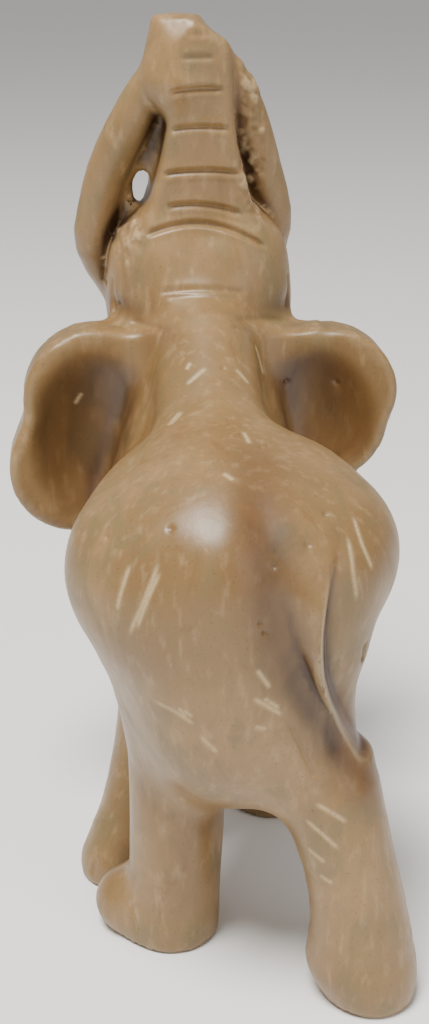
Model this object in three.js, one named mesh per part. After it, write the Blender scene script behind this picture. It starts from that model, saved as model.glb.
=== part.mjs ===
// Soapstone elephant with its trunk raised: one carved stone, standing on its four feet.
//
// Millimetres, +Z up. The elephant faces +Y and its right side is +X. The form is a signed
// distance field, negative inside the stone: rounds and eggs are blended the way a carver
// rounds one mass into the next, and the hollows are carved out of them. The field is then
// turned into one closed faceted skin, which stands on the plane Z = 0 with the origin under
// the middle of its bounding box.
import * as THREE from "three";
import { SimplifyModifier } from "three/addons/modifiers/SimplifyModifier.js";
import { triTable } from "three/addons/objects/MarchingCubes.js";

// Driving dimensions
const HEIGHT = 150; // soles to the cut end of the trunk
const HIP_WIDTH = 50.8; // the widest place, across the haunches
const RUMP_BACK = -35.2; // the flat that the rump is dressed to
const LEFT_FACET = { on: [-13.6, -5, 86.4], faces: [-0.52, -0.15, 0.84] }; // dressed on the left hip
const EAR_THICKNESS = 8.6;
const EAR_RIM = 2.3; // the lip left standing around each ear's hollow
const EAR_TOP = 97.6;
const EAR_MIDDLE = 29.3; // where the plates stand, front to back
const EAR_SWEEP = 3.5; // how far the ears' outer edges lean back
const TRUNK_WIDTH = 10.2; // near its end
const TRUNK_FLARE = 5.4; // how much each side widens by the forehead
const TRUNK_DEPTH = 12.4;
const TRUNK_TOP = { height: 148.6, fall: 0.57 }; // its shoulder drops this steeply to the right
const TRUNK_BEVEL = { on: [-0.1, 28.9, HEIGHT], faces: [-0.33, -0.8, 0.5] };
const TAIL_HEIGHT = 2; // how far the tail's crest stands out
const GROOVE_DEPTH = 1.4; // the channel down the tail's left side
const FLANK_DEPTH = 1.6; // the hollow between the tail and the thigh's right side
const MIDLINE = 1; // the head and trunk sit a little right of the body's middle
const EDGE = 0.5; // softening of the cut edges, at the soles and the trunk's end

// Skin
const STEP = 1.5; // spacing of the grid on which the field is sampled
const VERTICES = 4650; // what the skin is reduced to
const THINNEST = 0.03; // the least height of a facet over its long edge
const DRESSED = 0.08; // stone this close to the ground is rubbed down flat to it
const REACH = { low: [-40, -42, -2 * STEP], high: [40, 66, HEIGHT + 2 * STEP] };

const STONE = { color: 0xa5875f, roughness: 0.42, metalness: 0 };

// Two forms run together, with the seam between them rounded by k
function blend(k, a, b) {
  const h = THREE.MathUtils.clamp(0.5 + (0.5 * (b - a)) / k, 0, 1);
  return b + (a - b) * h - k * h * (1 - h);
}

// What of form a is left once b is carved out of it
function carve(k, a, b) {
  return -blend(k, -a, b);
}

// What lies in both forms
function within(k, a, b) {
  return carve(k, a, -b);
}

// How far a point stands out of a plane
function beyond({ on, faces }, { x, y, z }) {
  return faces[0] * (x - on[0]) + faces[1] * (y - on[1]) + faces[2] * (z - on[2]);
}

// A rise from 0 at a to 1 at b
function rise(a, b, x) {
  const t = THREE.MathUtils.clamp((x - a) / (b - a), 0, 1);
  return t * t * (3 - 2 * t);
}

// A bell of half-width w around 0
function bell(w, x) {
  return Math.exp(-((x / w) ** 2));
}

// An egg: centre, three half-axes and a pitch in degrees, nose up
function egg([cx, cy, cz], [rx, ry, rz], pitch = 0) {
  const sin = Math.sin(THREE.MathUtils.degToRad(pitch));
  const cos = Math.cos(THREE.MathUtils.degToRad(pitch));
  return ({ x, y, z }) => {
    const dx = (x - cx) / rx;
    const dy = ((y - cy) * cos + (z - cz) * sin) / ry;
    const dz = ((z - cz) * cos - (y - cy) * sin) / rz;
    const near = Math.hypot(dx, dy, dz);
    const slope = Math.hypot(dx / rx, dy / ry, dz / rz);
    return slope > 1e-9 ? (near * (near - 1)) / slope : -Math.min(rx, ry, rz);
  };
}

// A limb: a round whose thickness changes along a smooth path through joints [x, y, z, radius]
function limb(pieces, joints) {
  const path = new THREE.CatmullRomCurve3(
    joints.map(([x, y, z]) => new THREE.Vector3(x, y, z)),
    false,
    "catmullrom",
  );
  const girth = new THREE.CatmullRomCurve3(
    joints.map(([, , , radius]) => new THREE.Vector3(radius, 0, 0)),
    false,
    "catmullrom",
  );
  const rings = Array.from({ length: pieces + 1 }, (_, i) => ({
    at: path.getPoint(i / pieces),
    radius: girth.getPoint(i / pieces).x,
  }));
  const spans = rings.slice(1).map((end, i) => {
    const start = rings[i];
    const run = end.at.clone().sub(start.at);
    return { start, run, length2: run.lengthSq(), taper: end.radius - start.radius };
  });
  return ({ x, y, z }) => {
    let nearest = Infinity;
    for (const { start, run, length2, taper } of spans) {
      const dx = x - start.at.x;
      const dy = y - start.at.y;
      const dz = z - start.at.z;
      const along = (dx * run.x + dy * run.y + dz * run.z) / length2;
      const t = THREE.MathUtils.clamp(along, 0, 1);
      const gap = Math.hypot(dx - t * run.x, dy - t * run.y, dz - t * run.z);
      nearest = Math.min(nearest, gap - start.radius - taper * t);
    }
    return nearest;
  };
}

// The rump, withers, barrel and chest
function makeBody() {
  const hips = egg([1.5, -13, 71.7], [HIP_WIDTH / 2, 20, 17], 10);
  const seat = egg([1.5, -19, 57], [17, 16, 27], 8);
  const haunches = [
    egg([13.3, -13.5, 75.6], [12, 16, 9], 8),
    egg([-11, -12, 68.5], [11.8, 14, 12]),
  ];
  const withers = egg([1.6, -4, 78], [20, 13, 12.3]);
  const barrel = limb(4, [
    [0, -12, 70, 17],
    [0, 6, 68, 16],
    [0, 24, 66, 15],
  ]);
  const belly = egg([0, 6, 59], [15, 30, 16]);
  const chest = egg([0, 30, 64], [15, 14, 24], -10);
  return (p) => {
    let d = blend(10, hips(p), seat(p));
    for (const haunch of haunches) d = blend(6, d, haunch(p));
    d = within(5, d, RUMP_BACK - p.y);
    d = within(2, blend(4, d, withers(p)), beyond(LEFT_FACET, p));
    for (const mass of [barrel, belly, chest]) d = blend(8, d, mass(p));
    return d;
  };
}

// Four legs in mid-stride, each ending in a sole cut on Z = 0
function makeLegs() {
  const rightHind = limb(10, [
    [9, -18, 56, 11],
    [14.6, -24, 40, 8.8],
    [18.8, -27, 25, 7.5],
    [20.8, -28, 14, 8],
    [21.2, -28, 7, 9],
  ]);
  const rightHindToes = limb(1, [
    [23, -30, 2, 7],
    [23.6, -26, 2, 7],
  ]);
  const leftHind = limb(8, [
    [-7.6, -10, 56, 10.5],
    [-7.4, -9.5, 38, 8.3],
    [-7.5, -9.5, 20, 8],
    [-8.4, -9, 1.5, 7.9],
  ]);
  const leftHindToes = limb(1, [
    [-9, -8.8, 3, 6.6],
    [-15.6, -6.8, 4.5, 6],
  ]);
  const leftFore = limb(8, [
    [-7, 24, 52, 9.5],
    [-8.5, 18.5, 30, 7.4],
    [-12, 13.2, 13, 7.2],
    [-15.4, 9.6, 1.5, 8.6],
  ]);
  const rightFore = limb(8, [
    [8, 28, 52, 9.5],
    [11, 31, 32, 7.4],
    [13.5, 30.5, 14, 7.2],
    [14.5, 30, 1.5, 8.2],
  ]);
  return (p) =>
    Math.min(
      blend(3, rightHind(p), rightHindToes(p)),
      blend(4, leftHind(p), leftHindToes(p)),
      leftFore(p),
      rightFore(p),
    );
}

// The neck: a broad ridge along the top over a round throat
function makeNeck() {
  const ridge = limb(8, [
    [1, -24, 75, 9],
    [0.2, -9, 79.5, 10],
    [0.4, 7, 84.8, 9.4],
    [MIDLINE, 24, 95, 8.4],
  ]);
  const throat = limb(5, [
    [0, 14, 72, 12],
    [0.5, 28, 80, 14],
    [MIDLINE, 38, 94, 14],
  ]);
  return (p) => blend(5, ridge(p), throat(p));
}

// The head, thrown back: twin forehead domes behind, an open mouth and short jaw in front
function makeHead() {
  const skull = egg([MIDLINE + 0.3, 40, 101], [16.8, 14, 14], -15);
  const domes = [-6, 6].map((side) => egg([MIDLINE + side, 37, 110], [9, 8, 8]));
  const jaw = limb(6, [
    [MIDLINE, 43, 94, 10],
    [MIDLINE, 50.5, 95, 6.8],
    [MIDLINE, 55, 98, 4.8],
  ]);
  const cheeks = [-1, 1].map((side) =>
    limb(1, [
      [MIDLINE + side * 9.5, 43, 96, 5.5],
      [MIDLINE + side * 12.5, 47, 101.5, 4.2],
    ]),
  );
  const mouth = egg([MIDLINE, 55, 103.5], [6.5, 8, 2.6], 24);
  return (p) => {
    let d = blend(6, skull(p), blend(3, domes[0](p), domes[1](p)));
    d = blend(4, d, jaw(p));
    for (const cheek of cheeks) d = blend(3, d, cheek(p));
    return carve(1.5, d, mouth(p));
  };
}

// The trunk: a squared column that widens into the forehead, with its end bent to the left
function makeTrunk() {
  const root = 114; // where it has its full width, at the forehead
  const wrist = 143; // where it has its least width
  const foot = 104;
  const corner = 1.4;
  const end = limb(1, [
    [-3, 33.5, 140, 6.3],
    [-3.1, 33.5, HEIGHT + 2, 3.4],
  ]);
  const steepness = Math.hypot(1, TRUNK_TOP.fall);
  return (p) => {
    const spread = THREE.MathUtils.clamp((wrist - p.z) / (wrist - root), 0, 1.3);
    const halfWidth = TRUNK_WIDTH / 2 + TRUNK_FLARE * spread ** 2;
    const halfDepth = TRUNK_DEPTH / 2 + 2.4 * spread;
    const qx = Math.abs(p.x - MIDLINE) - halfWidth + corner;
    const qy = Math.abs(p.y - 34.4 - 5.2 * spread) - halfDepth + corner;
    const column =
      Math.hypot(Math.max(qx, 0), Math.max(qy, 0)) + Math.min(Math.max(qx, qy), 0) - corner;
    const top = (p.z - TRUNK_TOP.height + TRUNK_TOP.fall * (p.x - MIDLINE)) / steepness;
    const d = within(1.6, column, Math.max(top, foot - p.z));
    const cut = within(EDGE, blend(2.5, d, end(p)), p.z - HEIGHT);
    return within(0.4, cut, beyond(TRUNK_BEVEL, p));
  };
}

// The tusks rise from the corners of the mouth and close against the trunk's end
function makeTusks() {
  const left = limb(14, [
    [-8.5, 47, 97, 3.4],
    [-13.6, 46, 103, 3.6],
    [-16.9, 43, 110, 3.7],
    [-16.6, 41.5, 116, 3.7],
    [-14.7, 39.5, 123.5, 3.7],
    [-11.4, 37, 131, 3.7],
    [-7.6, 35, 138, 3.4],
    [-3, 34, 143, 3],
  ]);
  const right = limb(14, [
    [9, 47, 97, 3.4],
    [12, 46, 103, 3.5],
    [14.3, 43, 110, 3.5],
    [14.6, 41.5, 116, 3.6],
    [12.6, 39.5, 123.5, 3.5],
    [10.4, 37, 131, 3.4],
    [7.4, 35, 138.5, 3.2],
    [3.8, 34, 142.6, 3],
  ]);
  return [left, right];
}

// Stone left standing between the trunk and the tusks, pierced on the left
function makeWeb() {
  const sheet = egg([-0.7, 40.5, 120], [13.5, 2.8, 21], 12);
  const piercing = egg([-8.7, 40, 120.7], [1.7, 20, 3.2]);
  return (p) => carve(0.8, sheet(p), piercing(p));
}

// Ears: each outline is three rounds run together, given as [out from the middle, height, radius]
const EARS = [
  { side: -1, lobes: [[18.6, 86.4, 12.3], [20.1, 79.2, 11.6], [21.2, 74.2, 12.6]], bowl: [19, 18.5] },
  { side: 1, lobes: [[24, 87, 10.8], [21.2, 81.5, 12.1], [17.3, 73.8, 11]], bowl: [20.5, 18] },
];

function earOutline({ side, lobes }, { x, z }) {
  const out = x * side;
  const rounds = lobes.map(([u, v, radius]) => Math.hypot(out - u, z - v) - radius);
  const lobed = rounds.reduce((a, b) => blend(1.2, a, b));
  const root = Math.max(Math.abs(out - 14) - 7, Math.abs(z - EAR_TOP + 8.4) - 8.4);
  return blend(2, lobed, root);
}

function earLean({ x }) {
  return EAR_SWEEP * (Math.max(Math.abs(x) - 12, 0) / 22) ** 2;
}

function makeEars() {
  return (p) => {
    const plate = Math.abs(p.y + earLean(p) - EAR_MIDDLE) - EAR_THICKNESS / 2;
    return Math.min(...EARS.map((ear) => within(1.5, earOutline(ear, p), plate)));
  };
}

// The backs of the ears are hollowed, and the hollows run in to the sides of the neck, which
// they leave as a wedge with a facet down each side
function makeHollows() {
  const bowls = EARS.map(({ side, bowl: [out, tall] }) => egg([side * out, 18, 80], [13.5, 10.5, tall]));
  return (p) => {
    const swept = { x: p.x, y: p.y + earLean(p), z: p.z };
    const facet = blend(3, 0.85 * (p.y - 6), 6.5);
    const hollows = EARS.map((ear, i) => {
      const wedge = 4.7 + facet + 0.3 * (92 - p.z) - (p.x - MIDLINE) * ear.side;
      const bowl = within(2, earOutline(ear, p) + EAR_RIM, bowls[i](swept));
      return within(2.5, bowl, 0.8 * wedge);
    });
    return Math.min(...hollows);
  };
}

// The tail in relief down the right of the rump, the hollow beside it, and the ledge under the
// left hip's facet: how far the stone stands out of the body's round
function relief({ x, y, z }) {
  const gutter = 5.8 + 12 * ((86 - z) / 38.4) ** 2; // the tail's soft left edge
  const crest = 11.8 + 0.0134 * (z - 67) ** 2; // its crisp right edge
  const across = (x - gutter) / Math.max(crest - gutter, 1);
  const up = 0.35 * rise(-1.2, 1.2, x - gutter) + 0.65 * THREE.MathUtils.clamp(across, 0, 1);
  const down = 1 - rise(-0.2, 1.3, x - crest);
  const tail = up * down * rise(82, 72, z) * rise(42, 49, z);
  const groove = bell(4, x - gutter + 2.5) * rise(94, 80, z) * rise(36, 48, z);
  const flank = rise(0.2, 2.2, x - crest) * rise(60, 50, z) * rise(42.5, 45, z);
  const besideCrest = rise(0.2, 1.6, x - crest) * bell(4, Math.max(x - crest - 1.6, 0));
  const beside = 1.2 * besideCrest * rise(78, 70, z) * rise(50, 58, z);
  const above = z - 80.3 - 0.27 * (x + 23);
  const ledge = 0.4 * bell(above > 0 ? 9 : 4, above) * rise(-3, -9, x);
  const rear = TAIL_HEIGHT * tail - GROOVE_DEPTH * groove - FLANK_DEPTH * flank - beside;
  return rear * rise(-6, -14, y) + ledge * rise(0, -8, y);
}

// The whole elephant
function makeElephant() {
  const body = makeBody();
  const legs = makeLegs();
  const neck = makeNeck();
  const head = makeHead();
  const trunk = makeTrunk();
  const tusks = makeTusks();
  const web = makeWeb();
  const ears = makeEars();
  const hollows = makeHollows();
  return (p) => {
    const front = blend(4, blend(5, neck(p), head(p)), ears(p));
    const rear = blend(7, body(p), legs(p));
    let d = carve(1.2, blend(5, front, rear), hollows(p)) - relief(p);
    d = blend(3, d, trunk(p));
    d = blend(1.5, d, web(p));
    for (const tusk of tusks) d = blend(1.2, d, tusk(p));
    return within(EDGE, d, -p.z);
  };
}

// The corners of a grid cell, and the twelve edges between them, in the tables' order
const CORNERS = [[0, 0, 0], [1, 0, 0], [1, 1, 0], [0, 1, 0], [0, 0, 1], [1, 0, 1], [1, 1, 1], [0, 1, 1]];
const EDGES = [
  [0, 1], [1, 2], [2, 3], [3, 0],
  [4, 5], [5, 6], [6, 7], [7, 4],
  [0, 4], [1, 5], [2, 6], [3, 7],
];

// The closed skin of a field by marching cubes, with the vertices shared between its facets
function skin(field, { low, high }, step) {
  const count = low.map((from, axis) => Math.ceil((high[axis] - from) / step) + 1);
  const index = (i, j, k) => (i * count[1] + j) * count[2] + k;
  const values = new Float64Array(count[0] * count[1] * count[2]);
  const p = new THREE.Vector3();
  const visit = (extent, action) => {
    for (let i = 0; i < extent[0]; i += 1)
      for (let j = 0; j < extent[1]; j += 1)
        for (let k = 0; k < extent[2]; k += 1) action(i, j, k);
  };
  visit(count, (i, j, k) => {
    p.set(low[0] + i * step, low[1] + j * step, low[2] + k * step);
    values[index(i, j, k)] = field(p);
  });

  const positions = [];
  const faces = [];
  const made = new Map(); // the vertex on each grid edge that the surface crosses
  const vertexOn = (cell, edge) => {
    const [a, b] = EDGES[edge].map((corner) => CORNERS[corner].map((v, axis) => v + cell[axis]));
    const [from, to] = [index(...a), index(...b)];
    const key = Math.min(from, to) * 3 + a.findIndex((v, axis) => v !== b[axis]);
    if (!made.has(key)) {
      const t = values[from] / (values[from] - values[to]);
      made.set(key, positions.length / 3);
      a.forEach((v, axis) => positions.push(low[axis] + (v + t * (b[axis] - v)) * step));
    }
    return made.get(key);
  };
  visit(count.map((n) => n - 1), (i, j, k) => {
    const cell = [i, j, k];
    const inside = CORNERS.map(([u, v, w]) => values[index(i + u, j + v, k + w)] < 0);
    const kind = inside.reduce((bits, isIn, corner) => bits | (isIn << corner), 0);
    for (let n = kind * 16; triTable[n] >= 0; n += 3)
      faces.push(...[0, 2, 1].map((turn) => vertexOn(cell, triTable[n + turn])));
  });

  const geometry = new THREE.BufferGeometry();
  geometry.setAttribute("position", new THREE.Float32BufferAttribute(positions, 3));
  geometry.setIndex(faces);
  return geometry;
}

// A facet whose corners are nearly in line takes a better shape when its long edge is turned,
// so that the edge joins the two corners that faced it
function turnThinFacets(geometry, least) {
  const place = geometry.getAttribute("position");
  const faces = geometry.getIndex().array;
  const at = (vertex) => new THREE.Vector3().fromBufferAttribute(place, vertex);
  const normal = (...corners) => new THREE.Triangle(...corners.map(at)).getNormal(new THREE.Vector3());
  const thinness = (a, b, c) => {
    const [pa, pb, pc] = [a, b, c].map(at);
    return (2 * new THREE.Triangle(pa, pb, pc).getArea()) / pa.distanceTo(pb);
  };
  for (let turned = true; turned; ) {
    turned = false;
    const owner = new Map(); // the face on the left of each directed edge
    for (let n = 0; n < faces.length; n += 1) {
      const next = n % 3 === 2 ? n - 2 : n + 1;
      owner.set(faces[n] * place.count + faces[next], n);
    }
    for (const [key, n] of owner) {
      const face = n - (n % 3);
      const [a, b] = [Math.floor(key / place.count), key % place.count];
      const c = faces[face + ((n + 2) % 3)];
      if (thinness(a, b, c) >= least) continue;
      const m = owner.get(b * place.count + a);
      const d = faces[m - (m % 3) + ((m + 2) % 3)];
      const straight = normal(b, a, d);
      const turns = [[a, d, c], [d, b, c]];
      const sound = turns.every((corners) => normal(...corners).dot(straight) > 0.5);
      if (!sound || owner.has(c * place.count + d) || owner.has(d * place.count + c)) continue;
      turns[0].forEach((vertex, i) => (faces[face + i] = vertex));
      turns[1].forEach((vertex, i) => (faces[m - (m % 3) + i] = vertex));
      turned = true;
      break;
    }
  }
}

// The skin reduced to its facets, its soles made flat, centred over the origin
async function makeSolid() {
  const fine = skin(makeElephant(), REACH, STEP);
  const spare = fine.getAttribute("position").count - VERTICES;
  const geometry = await new SimplifyModifier().modify(fine, spare);
  const place = geometry.getAttribute("position");
  for (let i = 0; i < place.count; i += 1) {
    if (place.getZ(i) < DRESSED) place.setZ(i, 0);
  }
  turnThinFacets(geometry, THINNEST);
  geometry.computeBoundingBox();
  const middle = geometry.boundingBox.getCenter(new THREE.Vector3());
  geometry.translate(-middle.x, -middle.y, 0);
  geometry.computeVertexNormals();
  return geometry;
}

const elephant = new THREE.Mesh(await makeSolid(), new THREE.MeshStandardMaterial(STONE));
elephant.name = "elephant";

const part = new THREE.Group();
part.add(elephant);

export default part;
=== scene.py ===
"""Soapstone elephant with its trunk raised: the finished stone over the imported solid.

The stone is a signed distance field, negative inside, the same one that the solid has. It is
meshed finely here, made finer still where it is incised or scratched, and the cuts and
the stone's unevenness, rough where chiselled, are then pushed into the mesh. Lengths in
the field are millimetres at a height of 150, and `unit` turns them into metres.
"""

import math

import bpy
import numpy as np
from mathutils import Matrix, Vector


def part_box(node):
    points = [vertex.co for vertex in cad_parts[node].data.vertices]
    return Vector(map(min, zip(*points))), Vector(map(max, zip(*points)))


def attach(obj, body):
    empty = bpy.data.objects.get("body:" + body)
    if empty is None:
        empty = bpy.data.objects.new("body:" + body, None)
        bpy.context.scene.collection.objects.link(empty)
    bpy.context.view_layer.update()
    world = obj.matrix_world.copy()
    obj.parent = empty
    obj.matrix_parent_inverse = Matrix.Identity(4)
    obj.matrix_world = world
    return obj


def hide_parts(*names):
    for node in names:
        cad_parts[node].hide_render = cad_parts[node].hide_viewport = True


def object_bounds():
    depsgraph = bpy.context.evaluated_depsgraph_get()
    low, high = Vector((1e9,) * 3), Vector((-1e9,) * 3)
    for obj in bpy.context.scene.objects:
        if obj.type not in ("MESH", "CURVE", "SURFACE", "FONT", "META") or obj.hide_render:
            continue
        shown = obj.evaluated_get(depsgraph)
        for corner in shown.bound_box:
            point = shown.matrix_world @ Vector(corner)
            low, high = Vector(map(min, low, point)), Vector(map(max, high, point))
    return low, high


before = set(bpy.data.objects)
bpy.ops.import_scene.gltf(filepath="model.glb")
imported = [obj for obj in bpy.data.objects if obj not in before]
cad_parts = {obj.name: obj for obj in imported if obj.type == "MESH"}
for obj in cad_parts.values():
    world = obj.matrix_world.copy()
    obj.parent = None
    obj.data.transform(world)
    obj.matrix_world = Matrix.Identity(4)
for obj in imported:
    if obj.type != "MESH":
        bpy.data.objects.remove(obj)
cad_low, cad_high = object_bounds()
box_low, box_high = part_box("elephant")

HEIGHT = 150.0
unit = (box_high.z - box_low.z) / HEIGHT
HIP_WIDTH = 50.8
RUMP_BACK = -35.2
EAR_THICKNESS = 8.6
EAR_RIM = 2.3
EAR_SWEEP = 3.5
EAR_TOP = 97.6
EAR_MIDDLE = 29.3
TRUNK_WIDTH = 10.2
TRUNK_FLARE = 5.4
TRUNK_DEPTH = 12.4
MIDLINE = 1.0
EDGE = 0.5  # softening of the cut edges, at the soles and the trunk's end
TAIL_HEIGHT = 2.0  # how far the tail's crest stands out
GROOVE_DEPTH = 1.4  # the channel down the tail's left side
FLANK_DEPTH = 1.6  # the hollow between the tail and the thigh's right side
FLOOR = 4.0  # half the floor's side, in metres
LOW, HIGH = (-40, -42, -3), (40, 66, 153)  # the box that the field is sampled in


# ---------------------------------------------------------------- the field's tools


def blend(k, a, b):
    h = np.clip(0.5 + 0.5 * (b - a) / k, 0, 1)
    return b + (a - b) * h - k * h * (1 - h)


def carve(k, a, b):
    return -blend(k, -a, b)


def within(k, a, b):
    return carve(k, a, -b)


def rise(a, b, x):
    t = np.clip((x - a) / (b - a), 0, 1)
    return t * t * (3 - 2 * t)


def bell(w, x):
    return np.exp(-((x / w) ** 2))


def egg(p, centre, axes, pitch=0):
    x, y, z = (p[:, i] - centre[i] for i in range(3))
    s, c = math.sin(math.radians(pitch)), math.cos(math.radians(pitch))
    dx, dy, dz = x / axes[0], (y * c + z * s) / axes[1], (z * c - y * s) / axes[2]
    near = np.sqrt(dx**2 + dy**2 + dz**2)
    slope = np.sqrt((dx / axes[0]) ** 2 + (dy / axes[1]) ** 2 + (dz / axes[2]) ** 2)
    return near * (near - 1) / np.maximum(slope, 1e-9)


def rings(pieces, joints):
    """Points along a Catmull-Rom path through joints (x, y, z, radius)."""
    knots = np.array(joints, float)
    knots = np.vstack([2 * knots[0] - knots[1], knots, 2 * knots[-1] - knots[-2]])
    out = []
    for t in np.linspace(0, len(joints) - 1, pieces + 1):
        i = min(int(t), len(joints) - 2)
        u = t - i
        a, b, c, d = knots[i : i + 4]
        cubic = (3 * b - a - 3 * c + d) * u**3
        out.append(0.5 * (2 * b + (c - a) * u + (2 * a - 5 * b + 4 * c - d) * u**2 + cubic))
    return np.array(out)


def limb(p, pieces, joints):
    path = rings(pieces, joints)
    nearest = np.full(len(p), 1e9)
    for start, end in zip(path[:-1], path[1:]):
        run = end[:3] - start[:3]
        t = np.clip((p - start[:3]) @ run / (run @ run), 0, 1)
        gap = p - start[:3] - t[:, None] * run
        girth = start[3] + (end[3] - start[3]) * t
        nearest = np.minimum(nearest, np.sqrt(np.einsum("ij,ij->i", gap, gap)) - girth)
    return nearest


# ---------------------------------------------------------------- the elephant's forms


def body(p):
    hips = egg(p, (1.5, -13, 71.7), (HIP_WIDTH / 2, 20, 17), 10)
    seat = egg(p, (1.5, -19, 57), (17, 16, 27), 8)
    haunch = egg(p, (13.3, -13.5, 75.6), (12, 16, 9), 8)
    left_haunch = egg(p, (-11, -12, 68.5), (11.8, 14, 12))
    withers = egg(p, (1.6, -4, 78), (20, 13, 12.3))
    left_facet = -0.52 * (p[:, 0] + 13.6) - 0.15 * (p[:, 1] + 5) + 0.84 * (p[:, 2] - 86.4)
    barrel = limb(p, 4, [(0, -12, 70, 17), (0, 6, 68, 16), (0, 24, 66, 15)])
    belly = egg(p, (0, 6, 59), (15, 30, 16))
    chest = egg(p, (0, 30, 64), (15, 14, 24), -10)
    d = blend(6, blend(6, blend(10, hips, seat), haunch), left_haunch)
    d = within(5, d, RUMP_BACK - p[:, 1])
    d = within(2, blend(4, d, withers), left_facet)
    return blend(8, blend(8, blend(8, d, barrel), belly), chest)


RIGHT_HIND = [
    (9, -18, 56, 11), (14.6, -24, 40, 8.8), (18.8, -27, 25, 7.5),
    (20.8, -28, 14, 8), (21.2, -28, 7, 9),
]
RIGHT_HIND_TOES = [(23, -30, 2, 7), (23.6, -26, 2, 7)]
LEFT_HIND = [
    (-7.6, -10, 56, 10.5), (-7.4, -9.5, 38, 8.3), (-7.5, -9.5, 20, 8), (-8.4, -9, 1.5, 7.9),
]
LEFT_HIND_TOES = [(-9, -8.8, 3, 6.6), (-15.6, -6.8, 4.5, 6)]
LEFT_FORE = [(-7, 24, 52, 9.5), (-8.5, 18.5, 30, 7.4), (-12, 13.2, 13, 7.2), (-15.4, 9.6, 1.5, 8.6)]
RIGHT_FORE = [(8, 28, 52, 9.5), (11, 31, 32, 7.4), (13.5, 30.5, 14, 7.2), (14.5, 30, 1.5, 8.2)]


def legs(p):
    left_hind = blend(4, limb(p, 8, LEFT_HIND), limb(p, 1, LEFT_HIND_TOES))
    right_hind = blend(3, limb(p, 10, RIGHT_HIND), limb(p, 1, RIGHT_HIND_TOES))
    fore = np.minimum(limb(p, 8, LEFT_FORE), limb(p, 8, RIGHT_FORE))
    return np.minimum(np.minimum(right_hind, left_hind), fore)


def neck(p):
    along_top = [(1, -24, 75, 9), (0.2, -9, 79.5, 10), (0.4, 7, 84.8, 9.4), (MIDLINE, 24, 95, 8.4)]
    ridge = limb(p, 8, along_top)
    throat = limb(p, 5, [(0, 14, 72, 12), (0.5, 28, 80, 14), (MIDLINE, 38, 94, 14)])
    return blend(5, ridge, throat)


def head(p):
    skull = egg(p, (MIDLINE + 0.3, 40, 101), (16.8, 14, 14), -15)
    domes = blend(3, *(egg(p, (MIDLINE + side, 37, 110), (9, 8, 8)) for side in (-6, 6)))
    jaw = limb(p, 6, [(MIDLINE, 43, 94, 10), (MIDLINE, 50.5, 95, 6.8), (MIDLINE, 55, 98, 4.8)])
    d = blend(4, blend(6, skull, domes), jaw)
    for side in (-1, 1):
        cheek = [(MIDLINE + side * 9.5, 43, 96, 5.5), (MIDLINE + side * 12.5, 47, 101.5, 4.2)]
        d = blend(3, d, limb(p, 1, cheek))
    return carve(1.5, d, egg(p, (MIDLINE, 55, 103.5), (6.5, 8, 2.6), 24))


def trunk(p):
    x, y, z = p.T
    root, wrist, foot, corner = 114, 143, 104, 1.4
    spread = np.clip((wrist - z) / (wrist - root), 0, 1.3)
    half_width = TRUNK_WIDTH / 2 + TRUNK_FLARE * spread**2
    half_depth = TRUNK_DEPTH / 2 + 2.4 * spread
    qx = np.abs(x - MIDLINE) - half_width + corner
    qy = np.abs(y - 34.4 - 5.2 * spread) - half_depth + corner
    outside = np.hypot(np.maximum(qx, 0), np.maximum(qy, 0))
    column = outside + np.minimum(np.maximum(qx, qy), 0) - corner
    fall = (z - HEIGHT + 1.4 + 0.57 * (x - MIDLINE)) / 1.15
    d = within(1.6, column, np.maximum(fall, foot - z))
    end = limb(p, 1, [(-3, 33.5, 140, 6.3), (-3.1, 33.5, HEIGHT + 2, 3.4)])
    d = within(EDGE, blend(2.5, d, end), z - HEIGHT)
    bevel = -0.33 * (x + 0.1) - 0.8 * (y - 28.9) + 0.5 * (z - HEIGHT)
    return within(0.4, d, bevel)


LEFT_TUSK = [
    (-8.5, 47, 97, 3.4), (-13.6, 46, 103, 3.6), (-16.9, 43, 110, 3.7), (-16.6, 41.5, 116, 3.7),
    (-14.7, 39.5, 123.5, 3.7), (-11.4, 37, 131, 3.7), (-7.6, 35, 138, 3.4), (-3, 34, 143, 3),
]
RIGHT_TUSK = [
    (9, 47, 97, 3.4), (12, 46, 103, 3.5), (14.3, 43, 110, 3.5), (14.6, 41.5, 116, 3.6),
    (12.6, 39.5, 123.5, 3.5), (10.4, 37, 131, 3.4), (7.4, 35, 138.5, 3.2), (3.8, 34, 142.6, 3),
]


def web(p):
    sheet = egg(p, (-0.7, 40.5, 120), (13.5, 2.8, 21), 12)
    return carve(0.8, sheet, egg(p, (-8.7, 40, 120.7), (1.7, 20, 3.2)))


EARS = [
    dict(
        side=-1,
        lobes=[(18.6, 86.4, 12.3), (20.1, 79.2, 11.6), (21.2, 74.2, 12.6)],
        bowl=(19, 18.5),
    ),
    dict(side=1, lobes=[(24, 87, 10.8), (21.2, 81.5, 12.1), (17.3, 73.8, 11)], bowl=(20.5, 18)),
]


def ear_outline(ear, x, z):
    out = x * ear["side"]
    d = None
    for u, v, radius in ear["lobes"]:
        lobe = np.hypot(out - u, z - v) - radius
        d = lobe if d is None else blend(1.2, d, lobe)
    root = np.maximum(np.abs(out - 14) - 7, np.abs(z - EAR_TOP + 8.4) - 8.4)
    return blend(2, d, root)


def ear_lean(x):
    return EAR_SWEEP * (np.maximum(np.abs(x) - 12, 0) / 22) ** 2


def ears(p):
    x, y, z = p.T
    plate = np.abs(y + ear_lean(x) - EAR_MIDDLE) - EAR_THICKNESS / 2
    return np.minimum(*(within(1.5, ear_outline(ear, x, z), plate) for ear in EARS))


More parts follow.
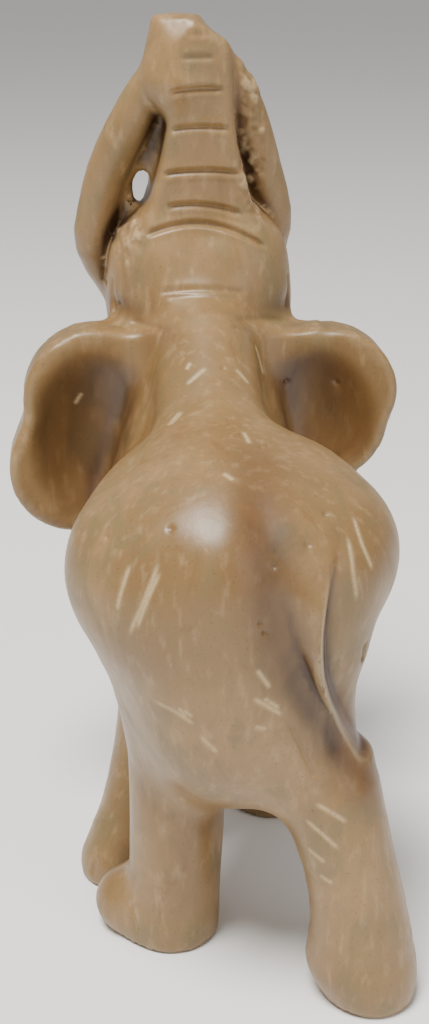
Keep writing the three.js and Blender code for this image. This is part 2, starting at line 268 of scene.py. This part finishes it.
def hollows(p):
    x, y, z = p.T
    swept = np.stack([x, y + ear_lean(x), z], 1)
    found = []
    for ear in EARS:
        out, tall = ear["bowl"]
        bowl = egg(swept, (ear["side"] * out, 18, 80), (13.5, 10.5, tall))
        bowl = within(2, ear_outline(ear, x, z) + EAR_RIM, bowl)
        facet = blend(3, 0.85 * (y - 6), 6.5)
        wedge = 4.7 + facet + 0.3 * (92 - z) - (x - MIDLINE) * ear["side"]
        found.append(within(2.5, bowl, 0.8 * wedge))
    return np.minimum(*found)


def relief(p):
    x, y, z = p.T
    gutter = 5.8 + 12 * ((86 - z) / 38.4) ** 2
    crest = 11.8 + 0.0134 * (z - 67) ** 2
    across = (x - gutter) / np.maximum(crest - gutter, 1)
    up = 0.35 * rise(-1.2, 1.2, x - gutter) + 0.65 * np.clip(across, 0, 1)
    down = 1 - rise(-0.2, 1.3, x - crest)
    tail = TAIL_HEIGHT * up * down * rise(82, 72, z) * rise(42, 49, z)
    groove = GROOVE_DEPTH * bell(4, x - gutter + 2.5) * rise(94, 80, z) * rise(36, 48, z)
    flank = rise(0.2, 2.2, x - crest) * rise(60, 50, z) * rise(42.5, 45, z)
    beside = rise(0.2, 1.6, x - crest) * bell(4, np.maximum(x - crest - 1.6, 0))
    beside = beside * rise(78, 70, z) * rise(50, 58, z)
    shelf = z - 80.3 - 0.27 * (x + 23)
    ledge = 0.4 * bell(np.where(shelf > 0, 9, 4), shelf) * rise(-3, -9, x)
    rear = rise(-6, -14, y)
    return (tail - groove - FLANK_DEPTH * flank - 1.2 * beside) * rear + ledge * rise(0, -8, y)


def stone(p):
    front = blend(4, blend(5, neck(p), head(p)), ears(p))
    d = blend(5, front, blend(7, body(p), legs(p)))
    d = carve(1.2, d, hollows(p)) - relief(p)
    d = blend(1.5, blend(3, d, trunk(p)), web(p))
    for tusk in (LEFT_TUSK, RIGHT_TUSK):
        d = blend(1.2, d, limb(p, 14, tusk))
    return within(EDGE, d, -p[:, 2])


# ---------------------------------------------------------------- meshing


def sample(field, low, high, coarse, split):
    """The field on a grid of step coarse / split, worked out only near the surface."""
    count = [int(math.ceil((b - a) / coarse)) for a, b in zip(low, high)]
    nodes = [np.arange(n + 1) * coarse + a for n, a in zip(count, low)]
    grid = np.stack(np.meshgrid(*nodes, indexing="ij"), -1)
    rough = field(grid.reshape(-1, 3)).reshape(grid.shape[:3])
    fine = [np.arange(n * split + 1) * (coarse / split) + a for n, a in zip(count, low)]
    near = np.abs(rough) < coarse * 1.9
    cells = np.zeros([n for n in count], bool)
    for i in (0, 1):
        for j in (0, 1):
            for k in (0, 1):
                cells |= near[i : i + count[0], j : j + count[1], k : k + count[2]]
    wanted = np.zeros([len(f) for f in fine], bool)
    big = np.kron(cells, np.ones((split,) * 3, bool))
    for i in (0, 1):
        for j in (0, 1):
            for k in (0, 1):
                wanted[i : i + big.shape[0], j : j + big.shape[1], k : k + big.shape[2]] |= big
    lower = [np.minimum(np.arange(len(f)) // split, n) for f, n in zip(fine, count)]
    values = rough[np.ix_(*lower)].copy()
    where = np.argwhere(wanted)
    points = np.stack([fine[i][where[:, i]] for i in range(3)], 1)
    values[wanted] = np.concatenate([field(part) for part in np.array_split(points, 12)])
    return values, fine


def surface_net(values, axes):
    """A closed mesh of quads with one corner in each grid cell that the surface crosses."""
    inside = values < 0
    n = np.array(values.shape)
    total = np.zeros(tuple(n - 1) + (3,))
    hits = np.zeros(n - 1)
    for d in range(3):
        a, b = [slice(None)] * 3, [slice(None)] * 3
        a[d], b[d] = slice(0, -1), slice(1, None)
        low, high = values[tuple(a)], values[tuple(b)]
        cross = inside[tuple(a)] != inside[tuple(b)]
        t = np.where(cross, low / np.where(low == high, 1, low - high), 0)
        place = []
        for k in range(3):
            shape = [1, 1, 1]
            if k == d:
                shape[k] = n[k] - 1
                start, gap = axes[k][:-1].reshape(shape), np.diff(axes[k]).reshape(shape)
                place.append(start + t * gap)
            else:
                shape[k] = n[k]
                place.append(np.broadcast_to(axes[k].reshape(shape), low.shape))
        others = [k for k in range(3) if k != d]
        for i in (0, 1):
            for j in (0, 1):
                s = [slice(None)] * 3
                s[others[0]] = slice(i, n[others[0]] - 1 + i)
                s[others[1]] = slice(j, n[others[1]] - 1 + j)
                c = cross[tuple(s)]
                hits += c
                for k in range(3):
                    total[..., k] += np.where(c, place[k][tuple(s)], 0)
    active = hits > 0
    number = np.full(n - 1, -1)
    number[active] = np.arange(active.sum())
    corners = total[active] / hits[active][:, None]
    quads = []
    for d in range(3):
        u, v = (d + 1) % 3, (d + 2) % 3
        a, b = [slice(1, -1)] * 3, [slice(1, -1)] * 3
        a[d], b[d] = slice(0, -1), slice(1, None)
        first, second = inside[tuple(a)], inside[tuple(b)]
        cross = first != second
        cell = np.argwhere(cross) + np.array([0 if k == d else 1 for k in range(3)])

        def corner(du, dv):
            c = cell.copy()
            c[:, u] += du
            c[:, v] += dv
            return number[c[:, 0], c[:, 1], c[:, 2]]

        q = np.stack([corner(-1, -1), corner(0, -1), corner(0, 0), corner(-1, 0)], 1)
        turned = ~first[cross]
        q[turned] = q[turned][:, ::-1]
        quads.append(q)
    return corners, np.concatenate(quads)


def triangles(points, quads):
    """Each quad is split along its shorter diagonal."""
    a, b, c, d = (points[quads[:, i]] for i in range(4))
    short = np.linalg.norm(a - c, axis=1) <= np.linalg.norm(b - d, axis=1)
    first = np.where(short[:, None], quads[:, [0, 1, 2]], quads[:, [1, 2, 3]])
    second = np.where(short[:, None], quads[:, [0, 2, 3]], quads[:, [1, 3, 0]])
    return np.concatenate([first, second])


def gradient(field, p, step=0.05):
    out = np.empty_like(p)
    for i in range(3):
        shift = np.zeros(3)
        shift[i] = step
        out[:, i] = (field(p + shift) - field(p - shift)) / (2 * step)
    return out


def settle(field, p, rounds):
    """Moves points on to the surface. Returns them with their normals."""
    for _ in range(rounds):
        g = gradient(field, p)
        p = p - g * (field(p) / np.maximum((g * g).sum(1), 0.05))[:, None]
    g = gradient(field, p)
    return p, g / np.maximum(np.linalg.norm(g, axis=1, keepdims=True), 1e-9)


def refine(points, faces, wanted):
    """Splits each edge that wanted(edges, lengths) picks, and its triangles in 2, 3 or 4."""
    edges = np.concatenate([faces[:, [0, 1]], faces[:, [1, 2]], faces[:, [2, 0]]])
    edges, back = np.unique(np.sort(edges, 1), axis=0, return_inverse=True)
    back = back.reshape(3, -1).T
    halfway = points[edges].mean(1)
    split = wanted(edges, np.linalg.norm(points[edges[:, 0]] - points[edges[:, 1]], axis=1))
    number = np.full(len(edges), -1)
    number[split] = len(points) + np.arange(split.sum())
    points = np.concatenate([points, halfway[split]])
    cut = number[back]
    out = [faces[(cut < 0).all(1)]]
    for turn in range(3):
        f = np.roll(faces, -turn, 1)
        m = np.roll(cut, -turn, 1)
        one = (m[:, 0] >= 0) & (m[:, 1] < 0) & (m[:, 2] < 0)
        a, b, c, ab = f[one, 0], f[one, 1], f[one, 2], m[one, 0]
        out += [np.stack([a, ab, c], 1), np.stack([ab, b, c], 1)]
        two = (m[:, 0] >= 0) & (m[:, 1] >= 0) & (m[:, 2] < 0)
        a, b, c, ab, bc = f[two, 0], f[two, 1], f[two, 2], m[two, 0], m[two, 1]
        out += [np.stack([ab, b, bc], 1)]
        one_way = np.linalg.norm(points[a] - points[bc], axis=1)
        near = one_way < np.linalg.norm(points[ab] - points[c], axis=1)
        out += [np.stack([a, ab, bc], 1)[near], np.stack([a, bc, c], 1)[near]]
        out += [np.stack([a, ab, c], 1)[~near], np.stack([ab, bc, c], 1)[~near]]
    three = (cut >= 0).all(1)
    (a, b, c), (ab, bc, ca) = faces[three].T, cut[three].T
    out += [np.stack(t, 1) for t in ((a, ab, ca), (ab, b, bc), (ca, bc, c), (ab, bc, ca))]
    return points, np.concatenate(out)


# ---------------------------------------------------------------- cuts, scratches, rubbing and painted shade

LATTICE = np.random.default_rng(7).random((32, 32, 32)) * 2 - 1


def noise(p, size):
    """Smooth noise between -1 and 1 in lumps of the given size."""
    q = p / size + 40.0
    cell = np.floor(q).astype(int)
    u = q - cell
    u = u * u * (3 - 2 * u)
    total = np.zeros(len(p))
    for i in (0, 1):
        for j in (0, 1):
            for k in (0, 1):
                weight = np.abs(1 - i - u[:, 0]) * np.abs(1 - j - u[:, 1]) * np.abs(1 - k - u[:, 2])
                total += weight * LATTICE[tuple((cell + (i, j, k)).T % 32)]
    return total


def on_stone(path, pieces=8):
    """A smooth line along the stone's surface through the places given roughly in path."""
    joints = [tuple(place) for place in path]
    if len(joints) == 2:
        joints.insert(1, tuple((np.array(joints[0]) + joints[1]) / 2))
    return settle(stone, rings(pieces, joints), 4)[0]


def along(p, path):
    """The distance of each point from a line, and how far along the line it is, from 0 to 1."""
    nearest, place = np.full(len(p), 99.0), np.zeros(len(p))
    close = np.flatnonzero(((p > path.min(0) - 4) & (p < path.max(0) + 4)).all(1))
    for i, (start, end) in enumerate(zip(path[:-1], path[1:])):
        run = end - start
        t = np.clip((p[close] - start) @ run / (run @ run), 0, 1)
        gap = np.linalg.norm(p[close] - start - t[:, None] * run, axis=1)
        nearer = gap < nearest[close]
        place[close[nearer]] = (i + t[nearer]) / (len(path) - 1)
        nearest[close[nearer]] = gap[nearer]
    return nearest, place


# Cuts across the trunk's back and the forehead: the top of each bow (x, z), how much it
# bows, its ends (x) and its depth
TRUNK_CUTS = [
    ((0.5, 147.2), 0.000, (-1.6, 2.6), 0.15),
    ((0.2, 143.7), 0.020, (-2.6, 2.9), 0.40),
    ((0.8, 138.6), 0.020, (-4.4, 4.5), 0.60),
    ((0.8, 132.2), 0.015, (-4.5, 5.5), 0.55),
    ((1.0, 124.9), 0.012, (-5.5, 7.4), 0.60),
    ((-1.0, 119.1), 0.022, (-4.8, 7.9), 0.55),
    ((-0.5, 116.0), 0.027, (-8.6, 12.0), 0.65),
    ((0.0, 105.5), 0.016, (-6.6, 8.0), 0.28),
    ((0.5, 104.6), 0.016, (-5.5, 7.4), 0.20),
]
# Single cuts: places on the line, depth, width
CUTS = [
    ([(-12, 29.5, 99.5), (-9, 26, 99.3), (-6, 22, 99.3)], 0.35, 0.7),  # folds of the neck
    ([(5.5, 21, 101), (11, 26.5, 99.7), (17, 31, 98)], 0.35, 0.7),
    ([(-14.4, 34, 106.5), (-14.6, 34.5, 102.7), (-14.8, 33, 99.5)], 0.7, 0.7),  # behind the cheek
    ([(16.4, 34, 106.5), (16.8, 34.5, 102.7), (16.8, 33, 99.5)], 0.7, 0.7),
    # the crease by the tail
    ([(7.4, -33, 54.5), (9.4, -32.6, 49.7), (11.5, -32.5, 44.7), (12, -32.5, 43)], 0.5, 0.5),
    # the chip in the right thigh
    ([(21.2, -26, 62.5), (21, -25.5, 60.5), (20.8, -25, 58.5)], 0.7, 0.6),
    ([(-33, 25, 86.6), (-33.4, 28, 86.2), (-33, 31, 86)], 0.7, 0.8),  # notch in the left ear's rim
    ([(-16, -13, 8.5), (-15.4, -14.2, 5.8), (-14.6, -15, 2.6)], 0.35, 0.45),  # toes
    ([(-11, -16.6, 8.7), (-10.3, -17, 4.8)], 0.3, 0.45),
]
# Pale scratches, start to end
SCRATCHES = [
    ((-15, -27, 78), (-17.5, -28, 70.5)),
    ((-11, -29.5, 79.5), (-13.5, -30.5, 73.5), (-15.7, -29, 67)),
    ((-10.6, -29.8, 78), (-14.6, -30, 68.5)),
    ((18, -23.5, 83), (19, -27, 79.3), (20.6, -28, 75.3)),
    ((16.7, -27, 81.3), (17.2, -30, 76.7), (18, -30, 71.3)),
    ((-12.3, -29, 56.4), (-9.2, -31.5, 55.5), (-6.2, -32.5, 53.5)),
    ((-8.8, -32, 56.5), (-7.6, -32.2, 54.7)),
    ((-8, -32, 56.2), (-6.6, -32.4, 55)),
    ((-5.7, -32.4, 51.8), (-2.9, -32.5, 48.5)),
    ((2.5, -34, 63.4), (4.8, -33.6, 59.7)),
    ((2, -34, 58.6), (4.4, -33.7, 56.8), (6.8, -33, 54.8)),
    ((3.6, -34, 58.4), (6.4, -33.4, 56)),
    ((2.4, -33.7, 53.4), (4.3, -33.6, 52.9)),
    ((10.6, -31.6, 35.6), (13.3, -33, 33.4), (16, -34, 30.8)),
    ((12, -32.5, 38.8), (14.7, -33, 37.3), (17.2, -33.5, 35.4)),
    ((11.3, -31, 29.8), (14, -33, 28)),
    ((13.2, -32, 25.2), (15.2, -33.6, 24.4)),
    ((-2.7, 11.3, 96.8), (-3.6, 10.3, 95.8)),
    ((-0.3, 9.2, 96.3), (-2.2, 8, 95.2), (-3.9, 7.3, 94)),
    ((-5.3, 2, 91.4), (-7.7, -1.4, 90)),
    ((-4.9, 1.4, 91.4), (-7.2, -2, 90)),
    ((4.5, 10, 95.9), (6.7, 8.8, 93.5)),
    ((9, 21.6, 96.9), (11.1, 22.6, 90.6)),
    ((3.5, -8.8, 91.4), (4.1, -12.5, 90.5)),
    ((-1, -20.6, 89), (0.5, -22.3, 88.4)),
    ((-20.6, 27, 87.3), (-22, 27, 85)),
]
PITS = [
    (13.8, -25.4, 83.8), (10.4, -30.2, 81), (5.2, -32, 78.7), (-18.3, -21.8, 80), (-22, -17.5, 78),
    (-9.3, -27.4, 83.3), (7, -12, 90), (5.9, -12.8, 90), (2.4, 9.3, 96), (15.7, 26.4, 88.3),
    (24.5, 25.8, 88), (-13.5, 32.6, 101.7), (-10, 31.3, 114.8), (3.2, -33.5, 70.5),
    (4, -33.5, 68.8),
]
# Plainer details: eyes, nostrils, and for each foot its middle (x, y) and where it points
EYES = [(-15.6, 40, 105), (17.8, 40, 105)]
NOSTRILS = [(-4.4, 33.4, 150), (-1.2, 33.4, 150)]
FEET = [(-16.5, 19, 225), (14.5, 38.5, 90), (24, -20, 60), (-18, -3, 150)]

ROUGH_PLACES = [
    dict(middle=(-11.5, 34, 113), reach=(3.2, 7, 5)),
    dict(middle=(9.6, 33.5, 128), reach=(3.2, 5, 16)),
]


def chiselled(p):
    """Where the recesses between the trunk and the tusks are left rough from the chisel."""
    found = np.zeros(len(p))
    for place in ROUGH_PLACES:
        out = np.linalg.norm((p - place["middle"]) / place["reach"], axis=1)
        found = np.maximum(found, rise(1.25, 0.75, out))
    return found


def trunk_cuts(p):
    """How far each point is from the nearest cut, and how deep that cut is."""
    x, y, z = p.T
    gap, depth = np.full(len(p), 99.0), np.zeros(len(p))
    for (top_x, top_z), bow, (left, right), deep in TRUNK_CUTS:
        off = np.abs(z - top_z + bow * (x - top_x) ** 2)
        end = rise(left - 0.6, left + 1.2, x) * rise(right + 0.6, right - 1.2, x)
        end = end * rise(33.5, 32, y)
        near = (off < gap) & (end > 0)
        gap[near], depth[near] = off[near], (deep * end)[near]
    return gap, depth


def toenails():
    """Three upright cuts round the front of each foot."""
    lines = []
    for x, y, front in FEET:
        for turn in (-38, 0, 38):
            side = math.radians(front + turn)
            out_x, out_y = math.cos(side), math.sin(side)
            lines.append([(x + 8 * out_x, y + 8 * out_y, 5.5), (x + 9 * out_x, y + 9 * out_y, 1.8)])
    return lines


def marks():
    """Every single cut as a line on the stone with its depth, width and how pale it is."""
    found = [(on_stone(path), deep, wide, 0.0) for path, deep, wide in CUTS]
    found += [(on_stone(path, 4), 0.3, 0.45, 0.0) for path in toenails()]
    found += [(on_stone(path), 0.12, 0.32, 1.0) for path in SCRATCHES]
    for eye in EYES:
        ring = [
            (eye[0], eye[1] + 2.3 * math.cos(turn), eye[2] + 1.3 * math.sin(turn))
            for turn in np.linspace(0, 2 * math.pi, 13)
        ]
        found.append((on_stone(ring, 24), 0.45, 0.45, 0.0))
    return found


def cut(p, lines):
    """How far each point is raised, how pale it is, and how near it lies to a mark."""
    raised, pale, nearest = np.zeros(len(p)), np.zeros(len(p)), np.full(len(p), 99.0)
    gap, depth = trunk_cuts(p)
    raised += depth * (0.22 * bell(0.5, gap - 1.0) - bell(0.48, gap))
    nearest = np.where(depth > 0, np.minimum(nearest, gap), nearest)
    for line, deep, wide, white in lines:
        gap, place = along(p, line)
        closed = np.linalg.norm(line[0] - line[-1]) < 0.5
        end = 1.0 if closed else rise(0, 0.18, place) * rise(1, 0.82, place)
        raised -= deep * end * bell(wide, gap)
        pale = np.maximum(pale, white * end * bell(wide * 1.1, gap))
        nearest = np.minimum(nearest, gap)
    for place in PITS:
        gap = np.linalg.norm(p - place, axis=1)
        raised -= 0.35 * bell(0.5, gap)
        nearest = np.minimum(nearest, gap)
    for place in NOSTRILS:
        gap = np.linalg.norm(p - place, axis=1)
        raised -= 1.2 * bell(0.9, gap)
        nearest = np.minimum(nearest, gap)
    rough = chiselled(p)
    chips = noise(p, 1.7) + 0.5 * noise(p + 9, 0.8)
    raised += rough * (0.34 * chips - 0.15)
    raised += 0.09 * noise(p, 7.0) + 0.03 * noise(p + 5, 2.6)
    raised *= rise(0.05, 0.8, p[:, 2])
    return raised, np.maximum(pale, 0.7 * rough * rise(0.1, 0.8, chips)), nearest


def bend(p, normals, reach):
    """How much the stone curves away (+, an edge) or closes in (-, a crease) within reach."""
    inner = stone(p - normals * reach) + reach
    outer = reach - stone(p + normals * reach)
    return (inner - outer) / reach


def detailed(points, faces):
    """The mesh made finer along cuts, sharp edges and rough stone, with the marks' lines."""
    lines = marks()
    for longest, band in DETAIL:
        corners, normals = settle(stone, points, 1)
        curved = np.abs(bend(corners, normals, 0.9)) > 0.3
        near = cut(corners, lines)[2] < band
        rough = chiselled(corners) > 0.02
        wanted_corner = (near | rough | curved) & (corners[:, 2] > -0.01)

        def wanted(edges, length):
            return wanted_corner[edges].any(1) & (length > longest)

        points, faces = refine(corners, faces, wanted)
    return settle(stone, points, 2), faces, lines


STEP = 1.0
# The longest edge left near a mark, and how near that is, for each round of splitting
DETAIL = [(0.7, 1.8), (0.36, 1.1)]
values, axes = sample(stone, LOW, HIGH, 4 * STEP, 4)
points, quads = surface_net(values, axes)
(points, normals), faces, lines = detailed(points, triangles(points, quads))
raised, pale, _ = cut(points, lines)
folded = bend(points, normals, 1.6)
cavity = bend(points, normals, 5.0)
rough = chiselled(points)
smooth_points = points
points = points + normals * raised[:, None]
middle = (smooth_points.min(0) + smooth_points.max(0)) / 2

# Where the stone is darkened brown: the ears' hollows and the tail's gutter, partly staining and
# partly painted shade, and the creases and recesses, painted shade
x, y, z = smooth_points.T
gutter = 5.8 + 12 * ((86 - z) / 38.4) ** 2
in_ear = rise(1.2, -1.5, hollows(smooth_points) - 0.6) * rise(31, 27, y)
in_gutter = bell(5, x - gutter + 2.0) * rise(96, 84, z) * rise(30, 44, z) * rise(-8, -16, y)
# Painted shade: darker in creases and recesses, by how far the stone closes in around each point
in_creases = 1.2 * np.clip(-folded, 0, 0.6) + 0.5 * np.clip(-cavity, 0, 1)
stain_and_shade = np.clip(0.9 * in_ear + 0.75 * in_gutter + in_creases, 0, 1)
# Convex edges paled towards CHALK: partly rubbed, partly a painted highlight where edges catch the
# light
edge = np.clip((folded - 0.25) * 1.6, 0, 1)

# ---------------------------------------------------------------- the mesh in the scene

shift = np.array([-middle[0], -middle[1], 0.0])
shift[0] += (box_low.x + box_high.x) / 2 / unit
shift[1] += (box_low.y + box_high.y) / 2 / unit
shift[2] += box_low.z / unit

mesh = bpy.data.meshes.new("stone")
mesh.from_pydata(((points + shift) * unit).tolist(), [], faces.tolist())
# The vertex colour holds the staining and painted shade, the pale scratches and chisel marks, the
# paled edges with their painted highlight, and the rough places
wear_and_shade = mesh.attributes.new("wear_and_shade", "FLOAT_COLOR", "POINT")
wear_and_shade.data.foreach_set("color", np.stack([stain_and_shade, pale, edge, rough], 1).astype(np.float32).ravel())
mesh.validate()
mesh.polygons.foreach_set("use_smooth", np.ones(len(mesh.polygons), bool))
elephant = bpy.data.objects.new("stone", mesh)
bpy.context.scene.collection.objects.link(elephant)
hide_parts("elephant")
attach(elephant, "root")

# ---------------------------------------------------------------- material


def node(tree, kind, **inputs):
    made = tree.nodes.new(kind)
    for name, value in inputs.items():
        made.inputs[name.replace("_", " ")].default_value = value
    return made


def mix(tree, factor, low, high):
    """A colour between two colours or sockets."""
    made = tree.nodes.new("ShaderNodeMix")
    made.data_type = "RGBA"
    made.clamp_factor = True
    for socket, value in ((0, factor), (6, low), (7, high)):
        if isinstance(value, bpy.types.NodeSocket):
            tree.links.new(value, made.inputs[socket])
        elif isinstance(value, tuple):
            made.inputs[socket].default_value = (*value, 1)
        else:
            made.inputs[socket].default_value = value
    return made.outputs[2]


def spread(tree, value, low, high, to_low=0.0, to_high=1.0):
    """A value stretched from low..high to to_low..to_high."""
    made = node(
        tree, "ShaderNodeMapRange", From_Min=low, From_Max=high, To_Min=to_low, To_Max=to_high
    )
    tree.links.new(value, made.inputs["Value"])
    return made.outputs["Result"]


def cloud(tree, place, scale, detail=4.0, stretch=(1, 1, 1), roughness=0.55, distortion=0.0):
    """Procedural noise in the object's own metres."""
    mapping = node(tree, "ShaderNodeMapping", Scale=stretch)
    tree.links.new(place, mapping.inputs["Vector"])
    made = node(
        tree,
        "ShaderNodeTexNoise",
        Scale=scale,
        Detail=detail,
        Roughness=roughness,
        Distortion=distortion,
    )
    tree.links.new(mapping.outputs["Vector"], made.inputs["Vector"])
    return made.outputs["Fac"]


def combine(tree, operation, a, b):
    made = tree.nodes.new("ShaderNodeMath")
    made.operation = operation
    made.use_clamp = operation in ("ADD", "MULTIPLY")
    for i, value in enumerate((a, b)):
        if isinstance(value, bpy.types.NodeSocket):
            tree.links.new(value, made.inputs[i])
        else:
            made.inputs[i].default_value = value
    return made.outputs[0]


TAN = (0.205, 0.118, 0.042)
SAND = (0.285, 0.172, 0.070)
MOSS = (0.165, 0.122, 0.048)
RUST = (0.120, 0.048, 0.012)
DEEP = (0.045, 0.018, 0.005)
CHALK = (0.47, 0.34, 0.18)


def soapstone():
    material = bpy.data.materials.new("soapstone")
    material.use_nodes = True
    tree = material.node_tree
    link = tree.links.new
    shader = tree.nodes["Principled BSDF"]
    place = tree.nodes.new("ShaderNodeTexCoord").outputs["Object"]
    wear_and_shade_node = node(tree, "ShaderNodeAttribute")
    wear_and_shade_node.attribute_name = "wear_and_shade"
    parts = tree.nodes.new("ShaderNodeSeparateColor")
    link(wear_and_shade_node.outputs["Color"], parts.inputs["Color"])
    stained_and_shaded, pale, edge = (parts.outputs[name] for name in ("Red", "Green", "Blue"))
    rough = wear_and_shade_node.outputs["Alpha"]

    broad = cloud(tree, place, 45, 3, (1, 1, 0.6), distortion=0.6)
    patches = cloud(tree, place, 80, 5, (1.4, 1.4, 0.8), distortion=1.2)
    grain = cloud(tree, place, 600, 6, (1, 1, 0.35))
    specks = cloud(tree, place, 2600, 2)

    colour = mix(tree, spread(tree, broad, 0.35, 0.65), TAN, SAND)
    colour = mix(tree, spread(tree, patches, 0.52, 0.66, 0, 0.6), colour, MOSS)
    colour = mix(tree, spread(tree, patches, 0.42, 0.30, 0, 0.35), colour, RUST)
    colour = mix(tree, spread(tree, grain, 0.50, 0.72, 0, 0.35), colour, MOSS)
    colour = mix(tree, spread(tree, grain, 0.46, 0.28, 0, 0.30), colour, CHALK)
    # Dark brown for the ears' hollows, the tail's gutter and the creases: partly staining, partly
    # painted shade
    brown = mix(tree, spread(tree, broad, 0.35, 0.6), RUST, DEEP)
    uneven = combine(tree, "MULTIPLY", stained_and_shaded, spread(tree, patches, 0.3, 0.6, 0.75, 1.1))
    colour = mix(tree, uneven, colour, brown)
    # Convex edges paler: partly rubbed, partly a painted highlight
    colour = mix(tree, combine(tree, "MULTIPLY", edge, 0.45), colour, CHALK)
    scuffed = combine(tree, "MULTIPLY", pale, spread(tree, specks, 0.3, 0.5, 0.5, 1.0))
    colour = mix(tree, scuffed, colour, CHALK)
    colour = mix(tree, spread(tree, specks, 0.62, 0.72, 0, 0.35), colour, DEEP)
    link(colour, shader.inputs["Base Color"])

    dull = spread(tree, patches, 0.3, 0.7, 0.33, 0.50)
    dull = combine(tree, "ADD", dull, combine(tree, "MULTIPLY", pale, 0.25))
    dull = combine(tree, "ADD", dull, combine(tree, "MULTIPLY", rough, 0.25))
    link(dull, shader.inputs["Roughness"])

    fine = node(tree, "ShaderNodeBump", Strength=0.35, Distance=0.00008)
    link(grain, fine.inputs["Height"])
    pitted = node(tree, "ShaderNodeBump", Strength=0.25, Distance=0.00004)
    link(specks, pitted.inputs["Height"])
    link(fine.outputs["Normal"], pitted.inputs["Normal"])
    link(pitted.outputs["Normal"], shader.inputs["Normal"])
    shader.inputs["Coat Weight"].default_value = 0.12
    shader.inputs["Coat Roughness"].default_value = 0.3
    return material


mesh.materials.append(soapstone())

# ---------------------------------------------------------------- floor, light and camera

floor_mesh = bpy.data.meshes.new("floor")
floor_mesh.from_pydata(
    [(-FLOOR, -FLOOR, 0), (FLOOR, -FLOOR, 0), (FLOOR, FLOOR, 0), (-FLOOR, FLOOR, 0)],
    [],
    [(0, 1, 2, 3)],
)
floor = bpy.data.objects.new("floor", floor_mesh)
floor.location.z = cad_low.z - 0.0002
bpy.context.scene.collection.objects.link(floor)
floor_material = bpy.data.materials.new("floor")
floor_material.use_nodes = True
paint = floor_material.node_tree.nodes["Principled BSDF"]
paint.inputs["Base Color"].default_value = (0.95, 0.95, 0.94, 1)
paint.inputs["Roughness"].default_value = 0.9
floor_mesh.materials.append(floor_material)

world = bpy.data.worlds.new("studio")
world.use_nodes = True
world.node_tree.nodes["Background"].inputs["Color"].default_value = (1.0, 0.98, 0.95, 1)
world.node_tree.nodes["Background"].inputs["Strength"].default_value = 0.42
bpy.context.scene.world = world


def area_light(name, place, target, size, power, colour=(1, 1, 1)):
    data = bpy.data.lights.new(name, "AREA")
    data.shape = "DISK"
    data.size = size
    data.energy = power
    data.color = colour
    light = bpy.data.objects.new(name, data)
    light.location = place
    aim = Vector(target) - Vector(place)
    light.rotation_euler = aim.to_track_quat("-Z", "Y").to_euler()
    bpy.context.scene.collection.objects.link(light)
    return light


centre = (Vector(cad_low) + Vector(cad_high)) / 2
area_light("key", centre + Vector((-0.18, -0.22, 0.75)), centre, 0.35, 12, (1.0, 0.97, 0.93))
area_light("fill", centre + Vector((0.6, -0.6, 0.3)), centre, 0.6, 1.5, (1.0, 0.98, 0.96))

camera_data = bpy.data.cameras.new("camera")
camera_data.sensor_fit = "VERTICAL"
camera_data.sensor_height = 36
camera_data.sensor_width = 36
camera_data.lens = 52.73
camera_data.clip_start = 0.01
camera = bpy.data.objects.new("camera", camera_data)
bpy.context.scene.collection.objects.link(camera)
azimuth, elevation, distance = math.radians(-6), math.radians(22), 246 * unit
target = Vector((0, 0, 74.5)) * unit + Vector(shift) * unit
back = Vector((
    math.sin(azimuth) * math.cos(elevation),
    -math.cos(azimuth) * math.cos(elevation),
    math.sin(elevation),
))
camera.location = target + back * distance
camera.rotation_euler = (-back).to_track_quat("-Z", "Y").to_euler()
bpy.context.scene.camera = camera
